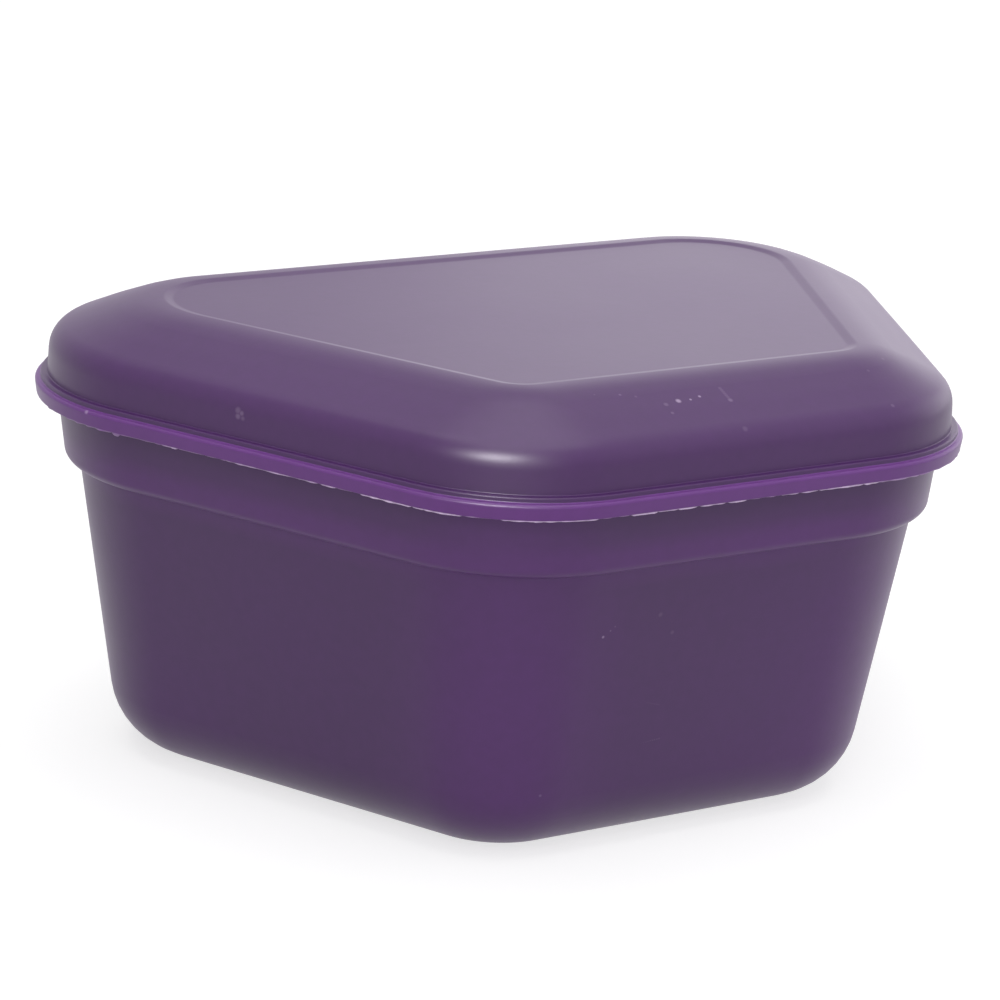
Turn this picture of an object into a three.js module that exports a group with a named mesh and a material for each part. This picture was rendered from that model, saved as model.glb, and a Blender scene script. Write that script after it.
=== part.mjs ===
import * as THREE from 'three';

// Denture case of two thin mouldings: a tub with a nesting shoulder, and a lid pressed on over its rim.
// Millimetres, +Z up. The origin is on the table, under the middle of the lid's flange.
// The wide end of the case is at +Y. Both pieces are lofted through rings that follow one rounded
// outline, so a profile point is [inset from the flange's outline, height, fillet radius].

// Outline of the flange round the lid's edge, the widest part of the case: a trapezium measured to its
// sharp corners, which the radii then round to 106 mm wide
const backLength = 130.4;
const frontLength = 59.2;
const caseDepth = 75.7;
const flangeFrontRadius = 19.5;
const flangeBackRadius = 21.3;

// Lid: the shoulder rises from the bend to the ridge, where the top levels out, and the label panel lies
// one shallow step lower
const lidWall = 1;
const lidRise = 10.75;
const lidDraft = THREE.MathUtils.degToRad(2.4);
const bendRadius = 3;
const shoulderAngle = THREE.MathUtils.degToRad(24.9);
const shoulderCrown = 0.13;
const shoulderRadius = 28;
const ridgeInset = 10.3;
const ridgeFillet = 10;
const ridgeWidth = 2.25;
const panelFrontRadius = 4.25;
const panelBackRadius = 10.1;
const panelRecess = 0.2;
const panelStepRun = 1;
const panelStepFillet = 1.5;
const panelMargin = 1;

// Flange: a finger edge in two narrow steps
const flangeReach = 1.35;
const flangeBand = 1.95;
const flangeEdge = 0.3;
const flangeFoot = 0.15;
const ledgeInset = 0.65;
const ledgeStep = 0.35;
const ledgeEdge = 0.1;
const ledgeNook = 0.25;

// Fit of the lid on the tub
const fitGap = 0.3;
const leadIn = 0.4;
const beadRise = 0.25;
const beadSpan = 1.2;
const beadAbove = 2.4;
const beadRound = 0.6;

// Tub
const tubWall = 1.2;
const tubCornerRadius = 22;
const bodyHeight = 33.3;
const bodyTaper = 5.2;
const baseFillet = 8.6;
const nestingWidth = 1.5;
const nestingEdge = 1.1;
const nestingNook = 0.4;
const collarHeight = 7.2;
const collarTaper = 0.35;
const footRecess = 0.6;
const footWidth = 2;
const footSlope = 0.5;
const footEdge = 0.2;
const footCornerRadius = 4;

// Faceting: the chord height of the fillets, and the facets of the outline's corners
const facetHeight = 0.02;
const frontCornerFacets = 7;
const backCornerFacets = 12;
const leastCornerRadius = 0.5;

// Levels, insets and the sides' lean, which follow from the sizes
const sideLean = Math.atan((backLength - frontLength) / 2 / caseDepth);
const flangeHeight = bodyHeight + collarHeight;
const lidHeight = flangeHeight + lidRise;
const bandHeight = flangeHeight + flangeBand;
const ledgeHeight = bandHeight + ledgeStep;
const beadHeight = flangeHeight + beadAbove;
const panelHeight = lidHeight - panelRecess;

// How far in the lid's outer wall stands at a height, leaning by its draft
function lidWallInset(height) {
  return flangeReach + (height - bandHeight) * Math.tan(lidDraft);
}

// The faces of the seat: the lid's wall from inside, and the tub's land one gap further in
function lidInnerInset(height) {
  return lidWallInset(height) + lidWall;
}
function landInset(height) {
  return lidInnerInset(height) + fitGap;
}

const collarInset = landInset(flangeHeight) + collarTaper;
const bodyInset = collarInset + nestingWidth;
const baseInset = bodyInset + bodyTaper;
const footInset = baseInset + baseFillet + footWidth;

// Unit direction of each stretch of a profile
function stretches(profile) {
  return profile.slice(1).map((point, i) => {
    const [inset, height] = profile[i];
    const length = Math.hypot(point[0] - inset, point[1] - height);
    return [(point[0] - inset) / length, (point[1] - height) / length];
  });
}

// Shells a wall off a profile that runs from the middle outwards and up: each stretch moves by the wall
// towards the hollow, and each fillet shrinks on the outside of a bend and grows on the inside.
function shell(profile, wall) {
  const directions = stretches(profile);
  return profile.map(([inset, height, fillet], i) => {
    const before = directions[Math.max(i - 1, 0)];
    const after = directions[Math.min(i, directions.length - 1)];
    const turn = before[1] * after[0] - before[0] * after[1];
    const mitre = wall / (1 + before[0] * after[0] + before[1] * after[1]);
    const shelled = fillet ? Math.max(fillet - Math.sign(turn) * wall, 0) : 0;
    return [inset + mitre * (before[1] + after[1]), height - mitre * (before[0] + after[0]), shelled];
  });
}

// Replaces each filleted point of a profile by its arc. Where two arcs need more of a stretch than it has,
// they divide it in proportion.
function rounded(profile) {
  const directions = stretches(profile);
  const turns = directions.slice(1).map((after, i) => {
    const cosine = directions[i][0] * after[0] + directions[i][1] * after[1];
    return Math.acos(THREE.MathUtils.clamp(cosine, -1, 1));
  });
  const wanted = profile.map((point, i) => (turns[i - 1] ? point[2] * Math.tan(turns[i - 1] / 2) : 0));
  return profile.flatMap(([inset, height], i) => {
    if (!wanted[i]) return [[inset, height]];
    const room = [i - 1, i + 1].map((other) => {
      const length = Math.hypot(profile[other][0] - inset, profile[other][1] - height);
      return (length * wanted[i]) / (wanted[i] + wanted[other]);
    });
    const tangent = Math.min(wanted[i], ...room);
    const turn = turns[i - 1];
    const radius = tangent / Math.tan(turn / 2);
    const steps = Math.max(2, Math.ceil(turn / (2 * Math.acos(1 - facetHeight / Math.max(radius, facetHeight)))));
    const [before, after] = [directions[i - 1], directions[i]];
    const side = before.map((part, axis) => (after[axis] - part * Math.cos(turn)) / Math.sin(turn));
    return Array.from({ length: steps + 1 }, (_, k) => {
      const along = radius * Math.sin((turn * k) / steps) - tangent;
      const across = radius * (1 - Math.cos((turn * k) / steps));
      return [inset + before[0] * along + side[0] * across, height + before[1] * along + side[1] * across];
    });
  });
}

// The case's outline at an inset and height: a trapezium, narrow end at -Y, with rounded corners.
// Its four sides move in together, and the corner radii are given for that ring.
function outline(inset, height, frontRadius, backRadius) {
  const front = Math.max(frontRadius, leastCornerRadius);
  const back = Math.max(backRadius, leastCornerRadius);
  const across = Math.cos(sideLean);
  const along = -Math.sin(sideLean);
  const sideReach = (across * backLength + along * caseDepth) / 2 - inset;
  const backY = caseDepth / 2 - inset - back;
  const frontY = -caseDepth / 2 + inset + front;
  const backX = (sideReach - back - along * backY) / across;
  const frontX = (sideReach - front - along * frontY) / across;
  const corners = [
    { x: frontX, y: frontY, radius: front, from: -Math.PI / 2, to: -sideLean, facets: frontCornerFacets },
    { x: backX, y: backY, radius: back, from: -sideLean, to: Math.PI / 2, facets: backCornerFacets },
    { x: -backX, y: backY, radius: back, from: Math.PI / 2, to: Math.PI + sideLean, facets: backCornerFacets },
    {
      x: -frontX,
      y: frontY,
      radius: front,
      from: Math.PI + sideLean,
      to: (3 * Math.PI) / 2,
      facets: frontCornerFacets,
    },
  ];
  return corners.flatMap(({ x, y, radius, from, to, facets }) =>
    Array.from({ length: facets + 1 }, (_, k) => {
      const angle = from + ((to - from) * k) / facets;
      return new THREE.Vector3(x + radius * Math.cos(angle), y + radius * Math.sin(angle), height);
    }),
  );
}

// Closed skin through rings that run from the middle of one flat end to the middle of the other
function loft(rings) {
  const count = rings[0].length;
  const positions = rings.flat().flatMap((p) => [p.x, p.y, p.z]);
  const faces = [];
  for (let i = 0; i < rings.length - 1; i++) {
    for (let j = 0; j < count; j++) {
      const k = (j + 1) % count;
      const [a, b, c, d] = [i * count + j, i * count + k, (i + 1) * count + k, (i + 1) * count + j];
      faces.push(a, b, c, a, c, d);
    }
  }
  [0, rings.length - 1].forEach((i) => {
    const middle = rings[i].reduce((sum, p) => sum.add(p), new THREE.Vector3()).divideScalar(count);
    const hub = positions.length / 3;
    positions.push(middle.x, middle.y, middle.z);
    for (let j = 0; j < count; j++) {
      const [a, b] = [i * count + j, i * count + ((j + 1) % count)];
      faces.push(hub, ...(i === 0 ? [b, a] : [a, b]));
    }
  });
  const geometry = new THREE.BufferGeometry();
  geometry.setAttribute('position', new THREE.Float32BufferAttribute(positions, 3));
  geometry.setIndex(faces);
  geometry.computeVertexNormals();
  return geometry;
}

// Where the line through one point at an angle above the inward direction meets the lid's leaning wall
function meetLidWall(point, angle) {
  const rise = Math.tan(angle);
  const wallRun = Math.tan(lidDraft);
  const inset = lidWallInset(point[1] - rise * point[0]) / (1 - rise * wallRun);
  return [inset, point[1] + rise * (inset - point[0])];
}

// Lid, from the wall's foot up and inwards: wall, tight bend, crowned shoulder, and the label panel's plane
const ridge = [ridgeInset, lidHeight];
const bend = meetLidWall(ridge, shoulderAngle);
const crown = [(bend[0] + ridge[0]) / 2, (bend[1] + ridge[1]) / 2 + shoulderCrown];
const shoulderStart = Math.atan2(crown[1] - bend[1], crown[0] - bend[0]);
const bendTangent = bendRadius * Math.tan((Math.PI / 2 - lidDraft - shoulderStart) / 2);
const wallTop = bend[1] - bendTangent * Math.cos(lidDraft);
const bendEnd = bend[0] + bendTangent * Math.cos(shoulderStart);
const panelEdge = ridgeInset + ridgeWidth;
const panelFloor = panelEdge + panelStepRun;
const recessShare = panelRecess / (ridge[1] - crown[1]);
const panelShoulder = [THREE.MathUtils.lerp(ridge[0], crown[0], recessShare), panelHeight];

const domeInside = shell(
  [
    [lidWallInset(flangeHeight), flangeHeight, 0],
    [...bend, bendRadius],
    [...crown, shoulderRadius],
    [...panelShoulder, ridgeFillet],
    [panelEdge, panelHeight, 0],
  ],
  lidWall,
);

// The groove that the tub's snap bead rests in, as deep as the bead stands out
const snapGroove = [
  [lidInnerInset(beadHeight + beadSpan), beadHeight + beadSpan, 0],
  [lidInnerInset(beadHeight) - beadRise, beadHeight, beadRound],
  [lidInnerInset(beadHeight - beadSpan), beadHeight - beadSpan, 0],
];

const flange = [
  [lidInnerInset(flangeHeight + leadIn), flangeHeight + leadIn, 0],
  [lidInnerInset(flangeHeight) - leadIn, flangeHeight, 0],
  [0, flangeHeight, flangeFoot],
  [0, bandHeight, flangeEdge],
  [ledgeInset, bandHeight, ledgeEdge],
  [ledgeInset, ledgeHeight, ledgeEdge],
  [lidWallInset(ledgeHeight), ledgeHeight, ledgeNook],
];

const lidProfile = rounded([
  ...domeInside.slice(1).reverse(),
  ...snapGroove,
  ...flange,
  [...bend, bendRadius],
  [...crown, shoulderRadius],
  [...ridge, ridgeFillet],
  [panelEdge, lidHeight, panelStepFillet],
  [panelFloor, panelHeight, panelStepFillet],
  [panelFloor + panelMargin, panelHeight, 0],
]);

// Corner radii of the lid's rings: concentric down the wall and bend, then drawn in to the label panel's
function lidRing([inset, height]) {
  const share = THREE.MathUtils.clamp((inset - bendEnd) / (panelEdge - bendEnd), 0, 1);
  const within = Math.max(inset - panelEdge, 0);
  const wallInset = Math.min(inset, bendEnd);
  return outline(
    inset,
    height,
    THREE.MathUtils.lerp(flangeFrontRadius - wallInset, panelFrontRadius, share) - within,
    THREE.MathUtils.lerp(flangeBackRadius - wallInset, panelBackRadius, share) - within,
  );
}

// Tub: the base's foot, the drafted body, the nesting shoulder, the collar, and the land that the lid covers.
// The rim's round top tucks under the lid's bend with the fit's gap all round.
const rimEdge = tubWall / 2;
const rimHeight = wallTop + rimEdge;
const bodySlope = bodyTaper / bodyHeight;
const landStart = flangeHeight - fitGap;

function tubSkin(baseHeight) {
  return [
    [footInset, baseHeight, 0],
    [baseInset - baseHeight * bodySlope, baseHeight, baseFillet],
    [bodyInset, bodyHeight, nestingNook],
    [collarInset, bodyHeight, nestingEdge],
    [landInset(landStart), landStart, 0],
    [landInset(rimHeight), rimHeight, rimEdge],
  ];
}

const snapBead = [
  [landInset(beadHeight - beadSpan), beadHeight - beadSpan, 0],
  [landInset(beadHeight) - beadRise, beadHeight, beadRound],
  [landInset(beadHeight + beadSpan), beadHeight + beadSpan, 0],
];

const tubOutside = tubSkin(0);
const tubInside = shell(tubSkin(footRecess), tubWall);
const tubProfile = rounded([
  [footInset + footSlope, footRecess, 0],
  [footInset, 0, footEdge],
  ...tubOutside.slice(1, -1),
  ...snapBead,
  ...tubOutside.slice(-1),
  ...tubInside.slice(1, -1).concat([[tubInside.at(-1)[0], rimHeight, rimEdge]]).reverse(),
  [footInset, footRecess + tubWall, 0],
]);

// Corner radii of the tub's rings: the lid's down to the flange, then drawn over to the tub's own
function tubRing([inset, height]) {
  const share = THREE.MathUtils.clamp((landStart - height) / (landStart - bodyHeight), 0, 1);
  return outline(
    inset,
    height,
    Math.max(THREE.MathUtils.lerp(flangeFrontRadius, tubCornerRadius, share) - inset, footCornerRadius),
    Math.max(THREE.MathUtils.lerp(flangeBackRadius, tubCornerRadius, share) - inset, footCornerRadius),
  );
}

const plastic = { color: 0x79598b, roughness: 0.42, metalness: 0 };

const tub = new THREE.Mesh(loft(tubProfile.map(tubRing)), new THREE.MeshStandardMaterial(plastic));
tub.name = 'tub';

const lid = new THREE.Mesh(loft(lidProfile.map(lidRing)), new THREE.MeshStandardMaterial(plastic));
lid.name = 'lid';

const dentureCase = new THREE.Group();
dentureCase.add(tub, lid);
export default dentureCase;
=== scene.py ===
import math

import bpy
import numpy as np
from mathutils import Matrix, Vector


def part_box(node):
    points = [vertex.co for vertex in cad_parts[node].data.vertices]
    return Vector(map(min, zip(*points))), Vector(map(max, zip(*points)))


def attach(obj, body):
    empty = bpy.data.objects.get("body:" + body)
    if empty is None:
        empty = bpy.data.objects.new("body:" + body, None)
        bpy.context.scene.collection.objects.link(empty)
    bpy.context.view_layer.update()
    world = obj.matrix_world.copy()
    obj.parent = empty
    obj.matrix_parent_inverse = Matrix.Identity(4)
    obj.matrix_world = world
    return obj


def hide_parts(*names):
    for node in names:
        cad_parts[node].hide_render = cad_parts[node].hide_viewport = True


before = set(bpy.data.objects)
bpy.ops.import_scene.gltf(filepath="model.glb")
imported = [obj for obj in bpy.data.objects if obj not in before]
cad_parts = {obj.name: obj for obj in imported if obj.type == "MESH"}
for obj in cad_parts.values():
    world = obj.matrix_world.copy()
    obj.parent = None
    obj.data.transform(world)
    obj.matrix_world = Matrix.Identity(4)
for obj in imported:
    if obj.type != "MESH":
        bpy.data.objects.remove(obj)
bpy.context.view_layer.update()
print("frame loaded:", sorted(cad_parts))

# A denture case of two thin satin mouldings: a tub with a nesting shoulder, and a lid pressed on over its
# rim. Shape values are in millimetres, as a drawing of the case would give them. Meshes are in metres.
mm = 0.001
lidLow, lidHigh = (np.array(corner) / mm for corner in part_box("lid"))

# The outline that every ring of both pieces follows: a trapezium, measured to its sharp corners at the
# flange, with the narrow end towards -Y. The corner radii are those of the flange.
caseOutline = {
    "backLength": 130.4,
    "frontLength": 59.2,
    "depth": lidHigh[1] - lidLow[1],
    "frontRadius": 19.5,
    "backRadius": 21.3,
    "leastRadius": 0.5,
    "frontEdgePoints": 26,
    "sideEdgePoints": 34,
    "backEdgePoints": 40,
    "frontArcPoints": 22,
    "backArcPoints": 34,
}
lean = math.atan((caseOutline["backLength"] - caseOutline["frontLength"]) / 2 / caseOutline["depth"])


def evenShares(count):
    # Shares of a stretch from its start up to, but not with, its end
    return np.arange(count) / count


def outlinePoints(inset, frontRadius, backRadius, shape=caseOutline):
    # For rows of inset and corner radii, the points of each ring in the plane. Each of the four sides
    # stands its inset in from the flange's side. A corner is an arc about a centre that lies one radius in
    # from both of its sides, and the straight edges join the arcs' ends. Arrays are rows by points round.
    inset = np.asarray(inset, float)[:, None]
    front = np.maximum(frontRadius, shape["leastRadius"])[:, None]
    back = np.maximum(backRadius, shape["leastRadius"])[:, None]
    across, along = math.cos(lean), -math.sin(lean)
    reach = (across * shape["backLength"] + along * shape["depth"]) / 2 - inset
    backY = shape["depth"] / 2 - inset - back
    frontY = -shape["depth"] / 2 + inset + front
    backX = (reach - back - along * backY) / across
    frontX = (reach - front - along * frontY) / across

    def arc(x, y, radius, start, end, count):
        angle = start + (end - start) * evenShares(count)[None, :]
        return x + radius * np.cos(angle), y + radius * np.sin(angle)

    def edge(x0, y0, x1, y1, count):
        share = evenShares(count)[None, :]
        return x0 + (x1 - x0) * share, y0 + (y1 - y0) * share

    frontArc, backArc = shape["frontArcPoints"], shape["backArcPoints"]
    stretches = [
        edge(-frontX, frontY - front, frontX, frontY - front, shape["frontEdgePoints"]),
        arc(frontX, frontY, front, -math.pi / 2, -lean, frontArc),
        edge(frontX + front * across, frontY + front * along,
             backX + back * across, backY + back * along, shape["sideEdgePoints"]),
        arc(backX, backY, back, -lean, math.pi / 2, backArc),
        edge(backX, backY + back, -backX, backY + back, shape["backEdgePoints"]),
        arc(-backX, backY, back, math.pi / 2, math.pi + lean, backArc),
        edge(-backX - back * across, backY + back * along,
             -frontX - front * across, frontY + front * along, shape["sideEdgePoints"]),
        arc(-frontX, frontY, front, math.pi + lean, 1.5 * math.pi, frontArc),
    ]
    return np.hstack([x for x, _ in stretches]), np.hstack([y for _, y in stretches])


# How finely profiles and the flat ends are divided
fineness = {
    "arcTurn": math.radians(9),
    "leastArcSteps": 3,
    "stretchStep": 1.7,
    "leastStretchSteps": 3,
    "endCrowding": 0.93,
    "capRings": 10,
    "capGrowth": 1.5,
}
leastLength = 1e-6


def gradedShares(length):
    # Shares along a straight stretch, crowded towards both of its ends, so that the shading of a flat
    # stretch stays flat up to the fillets beside it: t less a sine of one period
    count = fineness["leastStretchSteps"] + int(length / fineness["stretchStep"])
    t = np.arange(1, count) / count
    return t - fineness["endCrowding"] * np.sin(2 * math.pi * t) / (2 * math.pi)


def roundedProfile(points):
    # Rows of (inset, height, fillet) to rows of (inset, height): each filleted corner becomes an arc that
    # is tangent to the two stretches beside it. Where two arcs want more of a stretch than it has, they
    # share it in proportion.
    corners = np.array(points, float)
    step = np.diff(corners[:, :2], axis=0)
    length = np.hypot(step[:, 0], step[:, 1])
    along = step / length[:, None]
    turn = np.arccos(np.clip((along[:-1] * along[1:]).sum(1), -1, 1))
    wanted = np.concatenate(([0], corners[1:-1, 2] * np.tan(turn / 2), [0]))
    shared = np.maximum(wanted[:-1] + wanted[1:], leastLength)
    before = np.append(0, length * wanted[1:] / shared)
    after = np.append(length * wanted[:-1] / shared, 0)
    tangent = np.minimum(wanted, np.minimum(before, after))
    rows = [corners[:1, :2]]
    for i in range(1, len(corners)):
        start = corners[i - 1, :2] + along[i - 1] * tangent[i - 1]
        end = corners[i, :2] - along[i - 1] * tangent[i]
        rows.append(start + (end - start) * gradedShares(np.linalg.norm(end - start))[:, None])
        if tangent[i] < leastLength:
            rows.append(corners[i:i + 1, :2])
            continue
        angle, direction = turn[i - 1], along[i - 1]
        radius = tangent[i] / math.tan(angle / 2)
        side = (along[i] - direction * math.cos(angle)) / math.sin(angle)
        steps = max(fineness["leastArcSteps"], math.ceil(angle / fineness["arcTurn"]))
        swept = (angle * np.arange(steps + 1) / steps)[:, None]
        rows.append(end + radius * (direction * np.sin(swept) + side * (1 - np.cos(swept))))
    return np.vstack(rows)


def shelled(points, wall):
    # The hollow side of a wall along an inset-height path that runs from the middle outwards and up: each
    # stretch moves by the wall at right angles, corners at their mitre, and fillets shrink or grow with it
    corners = np.array(points, float)
    step = np.diff(corners[:, :2], axis=0)
    along = step / np.hypot(step[:, 0], step[:, 1])[:, None]
    before, after = np.vstack((along[:1], along)), np.vstack((along, along[-1:]))
    turn = before[:, 1] * after[:, 0] - before[:, 0] * after[:, 1]
    mitre = wall / (1 + (before * after).sum(1))
    fillet = np.where(corners[:, 2] > 0, np.maximum(corners[:, 2] - np.sign(turn) * wall, 0), 0)
    return np.column_stack((
        corners[:, 0] + mitre * (before[:, 1] + after[:, 1]),
        corners[:, 1] - mitre * (before[:, 0] + after[:, 0]),
        fillet,
    ))


# The slight unevenness of a thin moulding, in millimetres: long shallow waves along the walls
unevenness = {"height": 0.035, "pitch": (25, 90), "waves": 9, "seed": 7}


def moulded(x, y, z):
    # How far the wall stands off its drawn place: a sum of low sine waves of the position, so long that
    # both sides of a wall and both pieces of the fit move together
    draw = np.random.default_rng(unevenness["seed"])
    total = np.zeros(np.broadcast(x, y, z).shape)
    for _ in range(unevenness["waves"]):
        direction = draw.normal(size=3)
        pitch = draw.uniform(*unevenness["pitch"])
        direction *= 2 * math.pi / pitch / np.linalg.norm(direction)
        phase = draw.uniform(0, 2 * math.pi)
        total += np.sin(direction[0] * x + direction[1] * y + direction[2] * z + phase)
    return total * unevenness["height"] / math.sqrt(unevenness["waves"])


def ringGrid(profile, frontRadius, backRadius):
    # Carries an inset-height profile round the outline: one ring of points for each row of the profile
    inset, height = profile[:, 0], profile[:, 1]
    x, y = outlinePoints(inset, frontRadius, backRadius)
    z = np.broadcast_to(height[:, None], x.shape)
    centreShare = np.clip(1 - inset / (caseOutline["depth"] / 2), 0, 1)[:, None]
    swell = 1 + moulded(x, y, z) * centreShare / np.maximum(np.hypot(x, y), 1)
    return np.stack((x * swell, y * swell, z), axis=-1)


def cappedGrid(grid, rings):
    # Closes both flat ends: rings that shrink to a single point at the end ring's middle, in steps that
    # grow away from the edge
    def cap(ring):
        middle = ring.mean(0)
        share = (np.arange(1, rings) / rings)[:, None, None] ** fineness["capGrowth"]
        return ring + (middle - ring) * share, middle

    firstRings, firstPole = cap(grid[0])
    lastRings, lastPole = cap(grid[-1])
    return np.concatenate((firstRings[::-1], grid, lastRings)), firstPole, lastPole


def gridFaces(rows, columns):
    # Quads between neighbouring rings of a grid that closes on itself round each ring
    i, j = np.meshgrid(np.arange(rows - 1), np.arange(columns), indexing="ij")
    k = (j + 1) % columns
    here, above = i * columns, (i + 1) * columns
    return np.stack((here + j, here + k, above + k, above + j), axis=-1).reshape(-1, 4)


def poleFaces(pole, first, columns, outwards):
    # Triangles from a pole to the ring of points that starts at index first
    j = np.arange(columns)
    a, b = first + j, first + (j + 1) % columns
    ends = (a, b) if outwards else (b, a)
    return np.column_stack((np.full(columns, pole), *ends))


def loftedSkin(grid, paintedGlow, rings=fineness["capRings"]):
    # A closed skin through rings from one flat end to the other, with how much painted glow, painted light
    # through thin plastic, each point takes
    capped, firstPole, lastPole = cappedGrid(grid, rings)
    rows, columns = capped.shape[:2]
    return {
        "points": np.vstack((capped.reshape(-1, 3), firstPole, lastPole)),
        "quads": gridFaces(rows, columns),
        "triangles": np.vstack((
            poleFaces(rows * columns, 0, columns, False),
            poleFaces(rows * columns + 1, (rows - 1) * columns, columns, True),
        )),
        "paintedGlow": np.append(np.pad(paintedGlow, ((rings - 1, rings - 1), (0, 0))), (0, 0)),
        "whiteningAndGlint": np.zeros(rows * columns + 2),
    }


def meshPiece(name, skins, material):
    # Puts closed skins, whose points are in millimetres, into one smooth mesh with their attributes
    starts = np.cumsum([0] + [len(skin["points"]) for skin in skins])
    faces = []
    for skin, start in zip(skins, starts):
        faces += (skin["quads"] + start).tolist() + (skin["triangles"] + start).tolist()
    mesh = bpy.data.meshes.new(name)
    mesh.from_pydata(np.vstack([skin["points"] for skin in skins]) * mm, [], faces)
    for attribute in ("paintedGlow", "whiteningAndGlint"):
        values = np.concatenate([skin[attribute] for skin in skins]).astype(np.float32)
        mesh.attributes.new(attribute, "FLOAT", "POINT").data.foreach_set("value", values)
    mesh.shade_smooth()
    mesh.materials.append(material)
    piece = bpy.data.objects.new(name, mesh)
    bpy.context.scene.collection.objects.link(piece)
    return piece


def smoothRamp(value, start, end):
    # Nought before start and one after end, with an even ease between them
    t = np.clip((value - start) / (end - start), 0, 1)
    return t * t * (3 - 2 * t)


# Lid: a crowned shell with a recessed label panel, and a finger flange in two narrow steps at its edge
lidShape = {
    "wall": 1.0,
    "draft": math.radians(2.4),
    "bendRadius": 3.0,
    "shoulderAngle": math.radians(24.9),
    "shoulderCrown": 0.13,
    "shoulderRadius": 28.0,
    "ridgeInset": 10.3,
    "ridgeFillet": 10.0,
    "ridgeWidth": 2.25,
    "panelFrontRadius": 4.25,
    "panelBackRadius": 10.1,
    "panelRecess": 0.2,
    "panelStepRun": 1.0,
    "panelStepFillet": 1.5,
    "panelMargin": 1.0,
    "flangeReach": 1.35,
    "flangeBand": 1.72,
    "flangeEdge": 0.38,
    "flangeFoot": 0.15,
    "flangeTaper": 0.25,
    "ledgeInset": 0.65,
    "ledgeStep": 0.58,
    "ledgeEdge": 0.16,
    "ledgeNook": 0.1,
}

# How the lid sits on the tub: running gap, lead-in at the lid's mouth, and the snap bead in its groove
fitShape = {
    "gap": 0.3,
    "leadIn": 0.4,
    "beadRise": 0.25,
    "beadSpan": 1.2,
    "beadAbove": 2.4,
    "beadRound": 0.6,
}

flangeHeight = lidLow[2]
lidTop = lidHigh[2]
bandHeight = flangeHeight + lidShape["flangeBand"]
ledgeHeight = bandHeight + lidShape["ledgeStep"]
panelEdge = lidShape["ridgeInset"] + lidShape["ridgeWidth"]
panelHeight = lidTop - lidShape["panelRecess"]
beadHeight = flangeHeight + fitShape["beadAbove"]


def lidWallInset(height):
    return lidShape["flangeReach"] + (height - bandHeight) * math.tan(lidShape["draft"])


def lidInnerInset(height):
    return lidWallInset(height) + lidShape["wall"]


def landInset(height):
    return lidInnerInset(height) + fitShape["gap"]


def domeCorners():
    # The lid's outer path has three corners: the bend over the wall, where the line down from the panel's
    # ridge meets the leaning wall; the shoulder's crown, which stands over that line; and the ridge
    rise, run = math.tan(lidShape["shoulderAngle"]), math.tan(lidShape["draft"])
    ridge = (lidShape["ridgeInset"], lidTop)
    bendInset = lidWallInset(ridge[1] - rise * ridge[0]) / (1 - rise * run)
    bend = (bendInset, ridge[1] + rise * (bendInset - ridge[0]))
    crown = ((bend[0] + ridge[0]) / 2, (bend[1] + ridge[1]) / 2 + lidShape["shoulderCrown"])
    return bend, crown, ridge


bend, crown, ridge = domeCorners()
shoulderStart = math.atan2(crown[1] - bend[1], crown[0] - bend[0])
bendTangent = lidShape["bendRadius"] * math.tan((math.pi / 2 - lidShape["draft"] - shoulderStart) / 2)
wallTop = bend[1] - bendTangent * math.cos(lidShape["draft"])
bendEnd = bend[0] + bendTangent * math.cos(shoulderStart)


def lidProfile(s=lidShape, f=fitShape):
    # From the middle of the underside outwards: under the panel, down the inside of the dome, the snap
    # groove, the mouth's lead-in, the flange's two steps, up the wall, over the bend and shoulder, and
    # into the panel
    panelFloor = panelEdge + s["panelStepRun"]
    recessRun = s["panelRecess"] * (ridge[0] - crown[0]) / (ridge[1] - crown[1])
    inside = shelled([
        (lidWallInset(flangeHeight), flangeHeight, 0),
        (*bend, s["bendRadius"]),
        (*crown, s["shoulderRadius"]),
        (ridge[0] - recessRun, panelHeight, s["ridgeFillet"]),
        (panelEdge, panelHeight, 0),
    ], s["wall"])
    groove = [
        (lidInnerInset(beadHeight + f["beadSpan"]), beadHeight + f["beadSpan"], 0),
        (lidInnerInset(beadHeight) - f["beadRise"], beadHeight, f["beadRound"]),
        (lidInnerInset(beadHeight - f["beadSpan"]), beadHeight - f["beadSpan"], 0),
    ]
    flange = [
        (lidInnerInset(flangeHeight + f["leadIn"]), flangeHeight + f["leadIn"], 0),
        (lidInnerInset(flangeHeight) - f["leadIn"], flangeHeight, 0),
        (s["flangeTaper"], flangeHeight, s["flangeFoot"]),
        (0, bandHeight, s["flangeEdge"]),
        (s["ledgeInset"], bandHeight, s["ledgeEdge"]),
        (s["ledgeInset"], ledgeHeight, s["ledgeEdge"]),
        (lidWallInset(ledgeHeight), ledgeHeight, s["ledgeNook"]),
    ]
    outside = [
        (*bend, s["bendRadius"]),
        (*crown, s["shoulderRadius"]),
        (*ridge, s["ridgeFillet"]),
        (panelEdge, lidTop, s["panelStepFillet"]),
        (panelFloor, panelHeight, s["panelStepFillet"]),
        (panelFloor + s["panelMargin"], panelHeight, 0),
    ]
    return roundedProfile([*inside[1:][::-1], *groove, *flange, *outside])


def lidRadii(profile, s=lidShape):
    # Corner radii of the lid's rings: concentric with the flange down the wall and bend, then drawn in
    # evenly to the panel's own radii, and concentric again within it
    inset = profile[:, 0]
    share = np.clip((inset - bendEnd) / (panelEdge - bendEnd), 0, 1)
    within = np.maximum(inset - panelEdge, 0)
    outer = np.minimum(inset, bendEnd)
    front = (caseOutline["frontRadius"] - outer) * (1 - share) + s["panelFrontRadius"] * share - within
    back = (caseOutline["backRadius"] - outer) * (1 - share) + s["panelBackRadius"] * share - within
    return front, back


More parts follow.
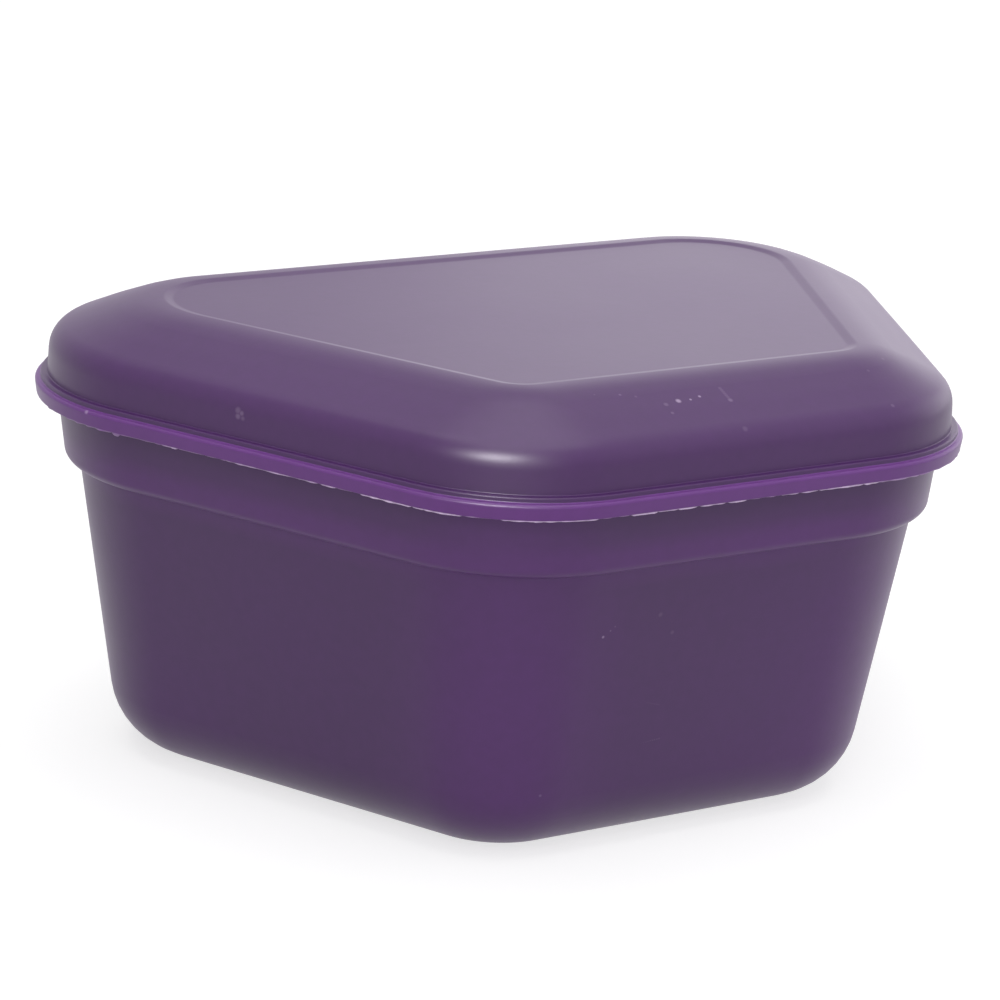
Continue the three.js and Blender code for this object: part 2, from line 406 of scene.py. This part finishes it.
# Tub: foot, drafted body, nesting shoulder, collar, and the land with its snap bead that the lid covers
tubShape = {
    "wall": 1.2,
    "cornerRadius": 22.0,
    "bodyHeight": 33.3,
    "bodyTaper": 5.2,
    "baseFillet": 8.6,
    "nestingWidth": 1.5,
    "nestingEdge": 1.1,
    "nestingNook": 0.4,
    "collarTaper": 0.35,
    "footRecess": 0.6,
    "footWidth": 2.0,
    "footSlope": 0.5,
    "footEdge": 0.2,
    "footCornerRadius": 4.0,
}

rimHeight = wallTop + tubShape["wall"] / 2
landStart = flangeHeight - fitShape["gap"]


def tubProfile(s=tubShape, f=fitShape):
    # From the middle of the underside outwards: foot, body, shoulder, collar, land with its bead, the
    # round rim, and back down the inside
    collar = landInset(flangeHeight) + s["collarTaper"]
    body = collar + s["nestingWidth"]
    base = body + s["bodyTaper"]
    foot = base + s["baseFillet"] + s["footWidth"]

    def skin(floor):
        return [
            (foot, floor, 0),
            (base - floor * s["bodyTaper"] / s["bodyHeight"], floor, s["baseFillet"]),
            (body, s["bodyHeight"], s["nestingNook"]),
            (collar, s["bodyHeight"], s["nestingEdge"]),
            (landInset(landStart), landStart, 0),
            (landInset(rimHeight), rimHeight, s["wall"] / 2),
        ]

    outside = skin(0)
    inside = shelled(skin(s["footRecess"]), s["wall"])
    bead = [
        (landInset(beadHeight - f["beadSpan"]), beadHeight - f["beadSpan"], 0),
        (landInset(beadHeight) - f["beadRise"], beadHeight, f["beadRound"]),
        (landInset(beadHeight + f["beadSpan"]), beadHeight + f["beadSpan"], 0),
    ]
    return roundedProfile([
        (foot + s["footSlope"], s["footRecess"], 0),
        (foot, 0, s["footEdge"]),
        *outside[1:-1],
        *bead,
        outside[-1],
        (inside[-1][0], rimHeight, s["wall"] / 2),
        *inside[1:-1][::-1],
        (foot, s["footRecess"] + s["wall"], 0),
    ])


def tubRadii(profile, s=tubShape):
    # Corner radii of the tub's rings: the lid's on the land, drawn over the collar to the tub's own
    inset, height = profile[:, 0], profile[:, 1]
    share = np.clip((landStart - height) / (landStart - s["bodyHeight"]), 0, 1)
    front = caseOutline["frontRadius"] * (1 - share) + s["cornerRadius"] * share - inset
    back = caseOutline["backRadius"] * (1 - share) + s["cornerRadius"] * share - inset
    return np.maximum(front, s["footCornerRadius"]), np.maximum(back, s["footCornerRadius"])


# Flash: the thin white burr along the flange's lower edge, where the mould's halves met. Its white is
# partly the plastic's own whitening and partly painted highlight where the thin burr catches light. Each
# span is a
# stretch where the burr shows: its start and end as lengths round the outline from the left end of the
# front edge, how far it hangs down, and how white it is. Periods are counts in one turn of the outline.
flashShape = {
    "pointSpacing": 0.2,
    "sectionPoints": 8,
    "inset": 0.05,
    "thickness": 0.08,
    "root": 0.16,
    "leastDrop": -0.14,
    "longestDrop": 0.4,
    "fade": 0.8,
    "raggedness": 0.16,
    "leastWhite": 0.3,
    "whiteFrom": (0.05, 0.35),
    "dropPeriods": (30, 240),
    "whitePeriods": (60, 300),
    "leanPeriods": (30, 200),
    "waves": 50,
    "seed": 21,
    "spans": [
        (0, 2, 0, 0.25), (2, 5.2, 0.13, 1), (5.2, 7.6, 0.08, 0.8), (7.6, 10.2, 0.11, 1),
        (10.2, 13.7, 0.08, 0.85), (13.7, 16.2, 0.1, 1), (16.2, 20.3, 0, 0.25), (20.3, 22.8, 0.05, 0.75),
        (22.8, 25.2, 0.06, 0.8), (25.2, 31, 0.075, 0.9), (31, 33, 0.1, 1), (33, 38.6, 0.02, 0.4),
        (38.6, 49.3, 0, 0.25), (50.2, 51.7, 0.1, 0.4), (60, 84, 0.05, 0.5), (90, 97, 0.08, 0.7),
        (104, 131, 0.03, 0.4), (138, 150, 0.08, 0.8), (157, 186, 0.05, 0.5), (192, 204, 0.08, 0.7),
        (227.6, 234.7, 0.02, 0.18), (234.7, 241.9, 0.07, 0.2), (241.9, 243, 0.3, 0.25),
        (243, 248.5, 0.04, 0.2), (248.5, 249.9, 0.06, 0.5), (249.6, 250.5, 0.12, 0.9),
        (250.5, 256.9, 0.01, 0.3), (256.9, 268.5, 0.045, 0.65), (268.5, 270.7, 0.055, 0.75),
        (270.7, 273.5, 0, 0.25), (273.5, 279.8, 0.09, 1), (279.8, 281.4, 0.07, 0.8),
        (281.2, 285.3, 0.11, 1), (285.3, 289.2, 0, 0.3), (289.2, 299.3, 0.07, 0.85),
        (292.4, 293.4, 0.12, 1), (299.4, 301, 0, 0.2),
    ],
}


def rippleRound(share, lowest, highest, draw, count):
    # A wave that closes on itself round the outline: a sum of cosines with whole numbers of periods
    periods = draw.integers(lowest, highest, count)[:, None]
    phases = draw.uniform(0, 2 * math.pi, count)[:, None]
    return np.cos(2 * math.pi * periods * share + phases).sum(0) / math.sqrt(count)


def flashSkin(s=flashShape):
    # A thin blade carried round the flange's lower edge. Its section is a flat oval from a root inside the
    # flange down to the drop at that place. Points are spaced evenly by length round the outline.
    inset = lidShape["flangeTaper"] + s["inset"]
    radii = [np.array([caseOutline[key] - inset]) for key in ("frontRadius", "backRadius")]
    x, y = (ring[0] for ring in outlinePoints([inset], *radii))
    closed = np.vstack((np.column_stack((x, y)), (x[0], y[0])))
    length = np.append(0, np.cumsum(np.hypot(*np.diff(closed, axis=0).T)))
    count = round(length[-1] / s["pointSpacing"])
    along = np.arange(count) * length[-1] / count
    x, y = (np.interp(along, length, closed[:, axis]) for axis in (0, 1))
    normal = np.stack((np.roll(y, -1) - np.roll(y, 1), np.roll(x, 1) - np.roll(x, -1)))
    normal /= np.hypot(*normal)
    draw = np.random.default_rng(s["seed"])
    share = along / length[-1]
    ragged = 1 + s["raggedness"] * rippleRound(share, *s["dropPeriods"], draw, s["waves"])
    drop = np.full(count, s["leastDrop"])
    white = np.zeros(count)
    for start, end, depth, whiteness in s["spans"]:
        edge = min(s["fade"], (end - start) / 2)
        within = smoothRamp(along, start - edge / 2, start + edge / 2)
        within *= 1 - smoothRamp(along, end - edge / 2, end + edge / 2)
        drop = np.maximum(drop, s["leastDrop"] + within * (depth * ragged - s["leastDrop"]))
        white = np.maximum(white, within * whiteness)
    drop = np.minimum(drop, s["longestDrop"])
    faded = 1 + s["raggedness"] * rippleRound(share, *s["whitePeriods"], draw, s["waves"])
    white *= np.clip(faded, s["leastWhite"], 1)
    turn = 2 * math.pi * np.arange(s["sectionPoints"]) / s["sectionPoints"]
    down = (1 - np.sin(turn))[:, None] / 2
    height = flangeHeight + s["root"] - (s["root"] + drop) * down
    bent = rippleRound(share, *s["leanPeriods"], draw, s["waves"]) * s["thickness"] * down ** 2
    outwards = bent + s["thickness"] / 2 * np.cos(turn)[:, None]
    points = np.stack((x + normal[0] * outwards, y + normal[1] * outwards, height), axis=-1)
    # The burr's white is partly painted highlight, and the burr takes the painted glow colour in full
    return {
        "points": points.reshape(-1, 3),
        "quads": gridFaces(s["sectionPoints"] + 1, count) % (s["sectionPoints"] * count),
        "triangles": np.zeros((0, 3), int),
        "paintedGlow": np.ones(s["sectionPoints"] * count),
        "whiteningAndGlint": (white * smoothRamp(down, *s["whiteFrom"])).ravel(),
    }


# Satin polypropylene, in linear colour: deep purple, and a brighter, more saturated painted glow that
# stands in for light shining through thin plastic and falling on the near corners, and nearly white on
# scuffs, specks and the flash burr, whose white is partly painted highlight. Texture sizes are in
# millimetres.
plasticLook = {
    "colour": (0.070, 0.0165, 0.117, 1),
    # The next colour is painted light: a brighter purple for light shining through thin plastic and falling
    # on the near corners
    "paintedGlowColour": (0.151, 0.033, 0.245, 1),
    # The next colour is the white of scuffs and specks, and of the flash burr, where it is partly painted
    # highlight
    "whiteMarkAndGlintColour": (0.84, 0.65, 0.93, 1),
    "toneSize": 45.0,
    "toneRange": (0.93, 1.07),
    "mottleSize": 1.3,
    "mottleRange": (0.965, 1.035),
    "roughness": (0.34, 0.42),
    "smearSize": 22.0,
    "smearDetail": 4.0,
    "ior": 1.48,
    "grainSize": 0.45,
    "grainDepth": 0.004,
    "grainDetail": 3.0,
    "orangePeelSize": 4.5,
    "orangePeelDepth": 0.010,
    "speckSpacing": 9.0,
    "speckSize": 0.16,
    "speckCore": 0.5,
    "speckShare": 0.35,
    "speckWhiteness": 0.12,
    "scuffCore": 0.4,
}

# The lid's top is polished more evenly than the tub's walls
lidLook = {
    **plasticLook,
    "toneRange": (0.97, 1.03),
    "roughness": (0.375, 0.39),
    "orangePeelDepth": 0.006,
}


def scratch(start, end, radius, whiteness, spacing=0.3):
    # A row of marks between two places
    start, end = np.array(start), np.array(end)
    count = 2 + int(np.linalg.norm(end - start) / spacing)
    return [(*(start + (end - start) * share), radius, whiteness) for share in np.linspace(0, 1, count)]


# Scuffs: place in millimetres, radius, and how white they are
lidScuffs = [
    (-42.9, -6.0, 45.7, 0.45, 0.1), (-42.8, -6.5, 45.5, 0.35, 0.13), (-43.0, -6.1, 45.1, 0.4, 0.12),
    (-42.8, -6.7, 45.0, 0.35, 0.09),
    (-5.9, -31.1, 49.7, 0.38, 0.4), (-4.4, -31.1, 49.7, 0.18, 0.38), (-3.1, -30.8, 49.8, 0.22, 0.38),
    (-11.9, -29.3, 50.4, 0.22, 0.12), (-10.3, -29.8, 50.2, 0.22, 0.07), (-7.6, -31.4, 49.6, 0.35, 0.09),
    (-7.6, -32.6, 49.0, 0.25, 0.09), (-14.7, -28.8, 50.5, 0.2, 0.12), (-0.5, -35.5, 47.4, 0.4, 0.06),
    (19.2, -29.8, 50.2, 0.25, 0.05), (22.8, -27.6, 50.6, 0.25, 0.06), (18.8, -34.9, 47.8, 0.3, 0.08),
    (-52.1, 10.5, 42.1, 0.35, 0.4), (0.1, -31.8, 49.4, 0.35, 0.13),
    *scratch((0.0, -30.0, 50.2), (0.1, -31.9, 49.4), 0.28, 0.06),
]
tubScuffs = [
    (-14.0, -32.3, 25.8, 0.2, 0.28), (-13.2, -32.4, 26.4, 0.14, 0.1), (-12.7, -32.5, 26.8, 0.14, 0.1),
    (-7.2, -32.6, 27.4, 0.35, 0.05), (-5.3, -32.2, 25.1, 0.3, 0.05), (-18.4, -29.2, 8.0, 0.22, 0.09),
    (-41.2, 2.8, 14.0, 0.4, 0.06),
    *scratch((-7.6, -30.3, 12.3), (-4.6, -30.2, 12.6), 0.12, 0.06),
    *scratch((-7.0, -31.0, 17.2), (-5.4, -30.9, 16.7), 0.12, 0.06),
]


def satinPlastic(name, look, scuffs=()):
    material = bpy.data.materials.new(name)
    material.use_nodes = True
    nodes, links = material.node_tree.nodes, material.node_tree.links
    shader = nodes["Principled BSDF"]
    place = nodes.new("ShaderNodeTexCoord").outputs["Object"]

    def cloud(size, detail=2.0):
        # Noise whose features are about a size across
        noise = nodes.new("ShaderNodeTexNoise")
        noise.inputs["Scale"].default_value = 1 / (size * mm)
        noise.inputs["Detail"].default_value = detail
        links.new(place, noise.inputs["Vector"])
        return noise.outputs["Fac"]

    def ranged(value, low, high, start=0.3, end=0.7):
        ramp = nodes.new("ShaderNodeMapRange")
        links.new(value, ramp.inputs["Value"])
        for key, number in (("From Min", start), ("From Max", end), ("To Min", low), ("To Max", high)):
            ramp.inputs[key].default_value = number
        return ramp.outputs["Result"]

    def combined(operation, a, b):
        node = nodes.new("ShaderNodeMath")
        node.operation = operation
        for socket, value in zip(node.inputs, (a, b)):
            if isinstance(value, (int, float)):
                socket.default_value = value
            else:
                links.new(value, socket)
        return node.outputs[0]

    def mixed(share, a, b):
        node = nodes.new("ShaderNodeMix")
        node.data_type = "RGBA"
        links.new(share, node.inputs["Factor"])
        for socket, value in zip((node.inputs["A"], node.inputs["B"]), (a, b)):
            if isinstance(value, tuple):
                socket.default_value = value
            else:
                links.new(value, socket)
        return node.outputs["Result"]

    def attribute(key):
        node = nodes.new("ShaderNodeAttribute")
        node.attribute_name = key
        return node.outputs["Fac"]

    # Tone: slow drift and fine mottle over the deep colour and the painted glow, the painted light of thin
    # plastic and the near corners
    tint = mixed(attribute("paintedGlow"), look["colour"], look["paintedGlowColour"])
    tone = combined("MULTIPLY", ranged(cloud(look["toneSize"]), *look["toneRange"]),
                    ranged(cloud(look["mottleSize"]), *look["mottleRange"]))
    shade = nodes.new("ShaderNodeVectorMath")
    shade.operation = "SCALE"
    links.new(tint, shade.inputs[0])
    links.new(tone, shade.inputs["Scale"])

    # White marks: the flash burr, whose white is partly painted highlight, scattered specks, and the scuffs
    white = attribute("whiteningAndGlint")
    cells = nodes.new("ShaderNodeTexVoronoi")
    cells.inputs["Scale"].default_value = 1 / (look["speckSpacing"] * mm)
    links.new(place, cells.inputs["Vector"])
    size = look["speckSize"] / look["speckSpacing"]
    dot = ranged(cells.outputs["Distance"], 1, 0, size * look["speckCore"], size)
    draw = nodes.new("ShaderNodeSeparateColor")
    links.new(cells.outputs["Color"], draw.inputs[0])
    chosen = combined("LESS_THAN", draw.outputs[0], look["speckShare"])
    speck = combined("MULTIPLY", combined("MULTIPLY", dot, chosen), draw.outputs[1])
    white = combined("MAXIMUM", white, combined("MULTIPLY", speck, look["speckWhiteness"]))
    for x, y, z, radius, whiteness in scuffs:
        reach = nodes.new("ShaderNodeVectorMath")
        reach.operation = "DISTANCE"
        links.new(place, reach.inputs[0])
        reach.inputs[1].default_value = (x * mm, y * mm, z * mm)
        mark = ranged(reach.outputs["Value"], whiteness, 0, radius * look["scuffCore"] * mm, radius * mm)
        white = combined("MAXIMUM", white, mark)
    links.new(mixed(white, shade.outputs[0], look["whiteMarkAndGlintColour"]), shader.inputs["Base Color"])

    # Sheen of a lightly textured mould: cloudy gloss, fine grain and a little orange peel
    smear = cloud(look["smearSize"], look["smearDetail"])
    links.new(ranged(smear, *look["roughness"]), shader.inputs["Roughness"])
    shader.inputs["IOR"].default_value = look["ior"]
    grain = combined("MULTIPLY", cloud(look["grainSize"], look["grainDetail"]), look["grainDepth"] * mm)
    peel = combined("MULTIPLY", cloud(look["orangePeelSize"]), look["orangePeelDepth"] * mm)
    relief = combined("ADD", grain, peel)
    bump = nodes.new("ShaderNodeBump")
    bump.inputs["Distance"].default_value = 1
    links.new(relief, bump.inputs["Height"])
    links.new(bump.outputs["Normal"], shader.inputs["Normal"])
    return material


# Painted light: a brighter, more saturated purple where light would shine through thin plastic or fall from
# the front
# lamps: on the tub the lower edge of the collar, and a painted pool of light on the wall in the two tight
# corners of the narrow end, and on the lid the flange's outer face. Lengths in millimetres.
tubPaintedGlow = {
    "edge": 0.4,
    "edgeAbove": 1.0,
    "edgeReach": (0.8, 3.5),
    "edgeWithin": 2.2,
    "corner": 0.25,
    "cornerReach": 17.0,
}
lidPaintedGlow = {"reach": (0.5, 1.6), "above": 0.1}


def tubGlowShare(path, grid, s=tubPaintedGlow):
    # Painted light: a band about the collar's lower edge, and a round patch about the middle of each front
    # corner, on the outside only. A patch is measured from each ring's own corner point, so it runs down
    # the wall.
    inset, height = path[:, 0], path[:, 1]
    away = np.abs(height - tubShape["bodyHeight"] - s["edgeAbove"])
    edge = s["edge"] * (1 - smoothRamp(away, *s["edgeReach"]))
    edge *= inset < landInset(landStart) + s["edgeWithin"]
    centre = caseOutline["frontArcPoints"] // 2 + caseOutline["frontEdgePoints"]
    corner = grid[:, centre][:, None]
    away = np.hypot(np.abs(grid[..., 0]) - corner[..., 0], grid[..., 1] - corner[..., 1])
    outer = (np.arange(len(path)) < np.argmax(height)) & (height > 0)
    tight = s["corner"] * (1 - smoothRamp(away, 0, s["cornerReach"])) * outer[:, None]
    return np.maximum(edge[:, None], tight)


def lidGlowShare(path, grid, s=lidPaintedGlow):
    # Painted light through the thin flange: one on the flange's outer face, fading inwards over its edges,
    # and nought above the flange
    band = (1 - smoothRamp(path[:, 0], *s["reach"])) * (path[:, 1] < bandHeight + s["above"])
    return np.broadcast_to(band[:, None], grid.shape[:2])


tubPath = tubProfile()
tubGrid = ringGrid(tubPath, *tubRadii(tubPath))
tub = meshPiece("case_tub", [loftedSkin(tubGrid, tubGlowShare(tubPath, tubGrid))],
                satinPlastic("tubPlastic", plasticLook, tubScuffs))
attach(tub, "tub")
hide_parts("tub")
print("tub:", len(tub.data.polygons), "faces")

lidPath = lidProfile()
lidGrid = ringGrid(lidPath, *lidRadii(lidPath))
lid = meshPiece("case_lid", [loftedSkin(lidGrid, lidGlowShare(lidPath, lidGrid)), flashSkin()],
                satinPlastic("lidPlastic", lidLook, lidScuffs))
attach(lid, "lid")
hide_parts("lid")
print("lid:", len(lid.data.polygons), "faces")

# Camera: where the photograph was taken from, as angles round the case, and the point that it looks at,
# moved from the axis of the case by a short way right and up in the camera's own plane
cameraView = {
    "azimuth": math.radians(-32.72),
    "elevation": math.radians(16.94),
    "roll": math.radians(3.325),
    "distance": 402.48,
    "lens": 130.78,
    "aimHeight": 29.7,
    "aimRight": -5.637,
    "aimUp": -0.499,
    "clipStart": 10.0,
}


def outwardFrom(azimuth, elevation):
    # The direction from the case at an azimuth, counted from the front to the right, and an elevation
    return Vector((
        math.sin(azimuth) * math.cos(elevation),
        -math.cos(azimuth) * math.cos(elevation),
        math.sin(elevation),
    ))


def placeCamera(view):
    azimuth = view["azimuth"]
    back = outwardFrom(azimuth, view["elevation"])
    right = Vector((math.cos(azimuth), math.sin(azimuth), 0))
    up = back.cross(right)
    aim = right * view["aimRight"] + up * view["aimUp"] + Vector((0, 0, view["aimHeight"]))
    cosRoll, sinRoll = math.cos(view["roll"]), math.sin(view["roll"])
    axes = Matrix((right * cosRoll + up * sinRoll, up * cosRoll - right * sinRoll, back)).transposed()
    data = bpy.data.cameras.new("camera")
    data.lens = view["lens"]
    data.clip_start = view["clipStart"] * mm
    camera = bpy.data.objects.new("camera", data)
    camera.matrix_world = Matrix.Translation((aim + back * view["distance"]) * mm) @ axes.to_4x4()
    bpy.context.scene.collection.objects.link(camera)
    bpy.context.scene.camera = camera


placeCamera(cameraView)

# Studio: a white sweep, seen white by the camera and in reflections, soft light from all round, a large
# softbox overhead, two in front, a small key, and four that graze the far right side. The catchlight is a
# small bright panel that only gleams on the near corner. Sizes and distances in metres, power in watts.
studio = {
    "skyLight": 0.21,
    "whiteSeen": 1.0,
    "floorSize": 6.0,
    "floorColour": (0.48, 0.48, 0.48, 1),
    "floorGlow": 0.70,
    "softboxes": {
        "overheadSoftbox": {"azimuth": 0, "elevation": 90, "distance": 1.5, "size": 1.5, "power": 12.4},
        "frontHighSoftbox": {"azimuth": -30, "elevation": 60, "distance": 1.5, "size": 1.2, "power": 2.9},
        "frontLowSoftbox": {"azimuth": -30, "elevation": 8, "distance": 1.5, "size": 1.0, "power": 4.1},
        "keySoftbox": {"azimuth": -38, "elevation": 36, "distance": 1.2, "size": 0.3, "power": 1.6},
        "rightSoftbox": {"azimuth": 40, "elevation": 30, "distance": 1.5, "size": 1.2, "power": 1.4},
        "sideSoftbox": {"azimuth": 90, "elevation": 15, "distance": 1.2, "size": 0.8, "power": 1.8},
        "rimSoftbox": {"azimuth": 110, "elevation": 8, "distance": 1.2, "size": 0.5, "power": 0.6},
        "backSoftbox": {"azimuth": 135, "elevation": 10, "distance": 1.2, "size": 0.6, "power": 0.93},
    },
    "catchlights": {
        "cornerCatchlight": {"azimuth": -45, "elevation": 28, "distance": 1.2, "size": 0.38, "power": 15.0},
    },
}


def seenRay(nodes, links):
    # One for rays from the camera, a reflection or a transmission, and nought for diffuse light
    path = nodes.new("ShaderNodeLightPath")
    first = nodes.new("ShaderNodeMath")
    first.operation = "MAXIMUM"
    links.new(path.outputs["Is Camera Ray"], first.inputs[0])
    links.new(path.outputs["Is Glossy Ray"], first.inputs[1])
    second = nodes.new("ShaderNodeMath")
    second.operation = "MAXIMUM"
    links.new(first.outputs[0], second.inputs[0])
    links.new(path.outputs["Is Transmission Ray"], second.inputs[1])
    return second.outputs[0]


def paintWorld(s):
    world = bpy.data.worlds.new("studioLight")
    bpy.context.scene.world = world
    world.use_nodes = True
    nodes, links = world.node_tree.nodes, world.node_tree.links
    background = nodes["Background"]
    background.inputs["Color"].default_value = (1, 1, 1, 1)
    strength = nodes.new("ShaderNodeMapRange")
    strength.inputs["To Min"].default_value = s["skyLight"]
    strength.inputs["To Max"].default_value = s["whiteSeen"]
    links.new(seenRay(nodes, links), strength.inputs["Value"])
    links.new(strength.outputs["Result"], background.inputs["Strength"])


def layFloor(s):
    # A plain pale floor: diffuse, so that it keeps the case's shadow, with a glow for seen rays that
    # brings the open floor up to white
    half = s["floorSize"] / 2
    mesh = bpy.data.meshes.new("floor")
    corners = [(-half, -half, 0), (half, -half, 0), (half, half, 0), (-half, half, 0)]
    mesh.from_pydata(corners, [], [(0, 1, 2, 3)])
    floor = bpy.data.objects.new("floor", mesh)
    bpy.context.scene.collection.objects.link(floor)
    material = bpy.data.materials.new("paleFloor")
    material.use_nodes = True
    nodes, links = material.node_tree.nodes, material.node_tree.links
    nodes.remove(nodes["Principled BSDF"])
    diffuse = nodes.new("ShaderNodeBsdfDiffuse")
    diffuse.inputs["Color"].default_value = s["floorColour"]
    glow = nodes.new("ShaderNodeEmission")
    glow.inputs["Color"].default_value = (1, 1, 1, 1)
    amount = nodes.new("ShaderNodeMath")
    amount.operation = "MULTIPLY"
    amount.inputs[1].default_value = s["floorGlow"]
    links.new(seenRay(nodes, links), amount.inputs[0])
    links.new(amount.outputs[0], glow.inputs["Strength"])
    both = nodes.new("ShaderNodeAddShader")
    links.new(diffuse.outputs[0], both.inputs[0])
    links.new(glow.outputs[0], both.inputs[1])
    links.new(both.outputs[0], nodes["Material Output"].inputs["Surface"])
    mesh.materials.append(material)


def hangSoftbox(name, box, gleamOnly=False):
    # A square lamp that faces the middle of the case from its azimuth and elevation
    back = outwardFrom(math.radians(box["azimuth"]), math.radians(box["elevation"]))
    data = bpy.data.lights.new(name, "AREA")
    data.shape = "SQUARE"
    data.size = box["size"]
    data.energy = box["power"]
    lamp = bpy.data.objects.new(name, data)
    lamp.location = back * box["distance"] + Vector((0, 0, cameraView["aimHeight"] * mm))
    lamp.rotation_euler = back.to_track_quat("Z", "Y").to_euler()
    lamp.visible_diffuse = not gleamOnly
    bpy.context.scene.collection.objects.link(lamp)


paintWorld(studio)
layFloor(studio)
for lampName, box in studio["softboxes"].items():
    hangSoftbox(lampName, box)
for lampName, box in studio["catchlights"].items():
    hangSoftbox(lampName, box, gleamOnly=True)
print("studio: camera, floor and", len(studio["softboxes"]) + len(studio["catchlights"]), "lamps")

bpy.context.scene.view_settings.view_transform = "Standard"
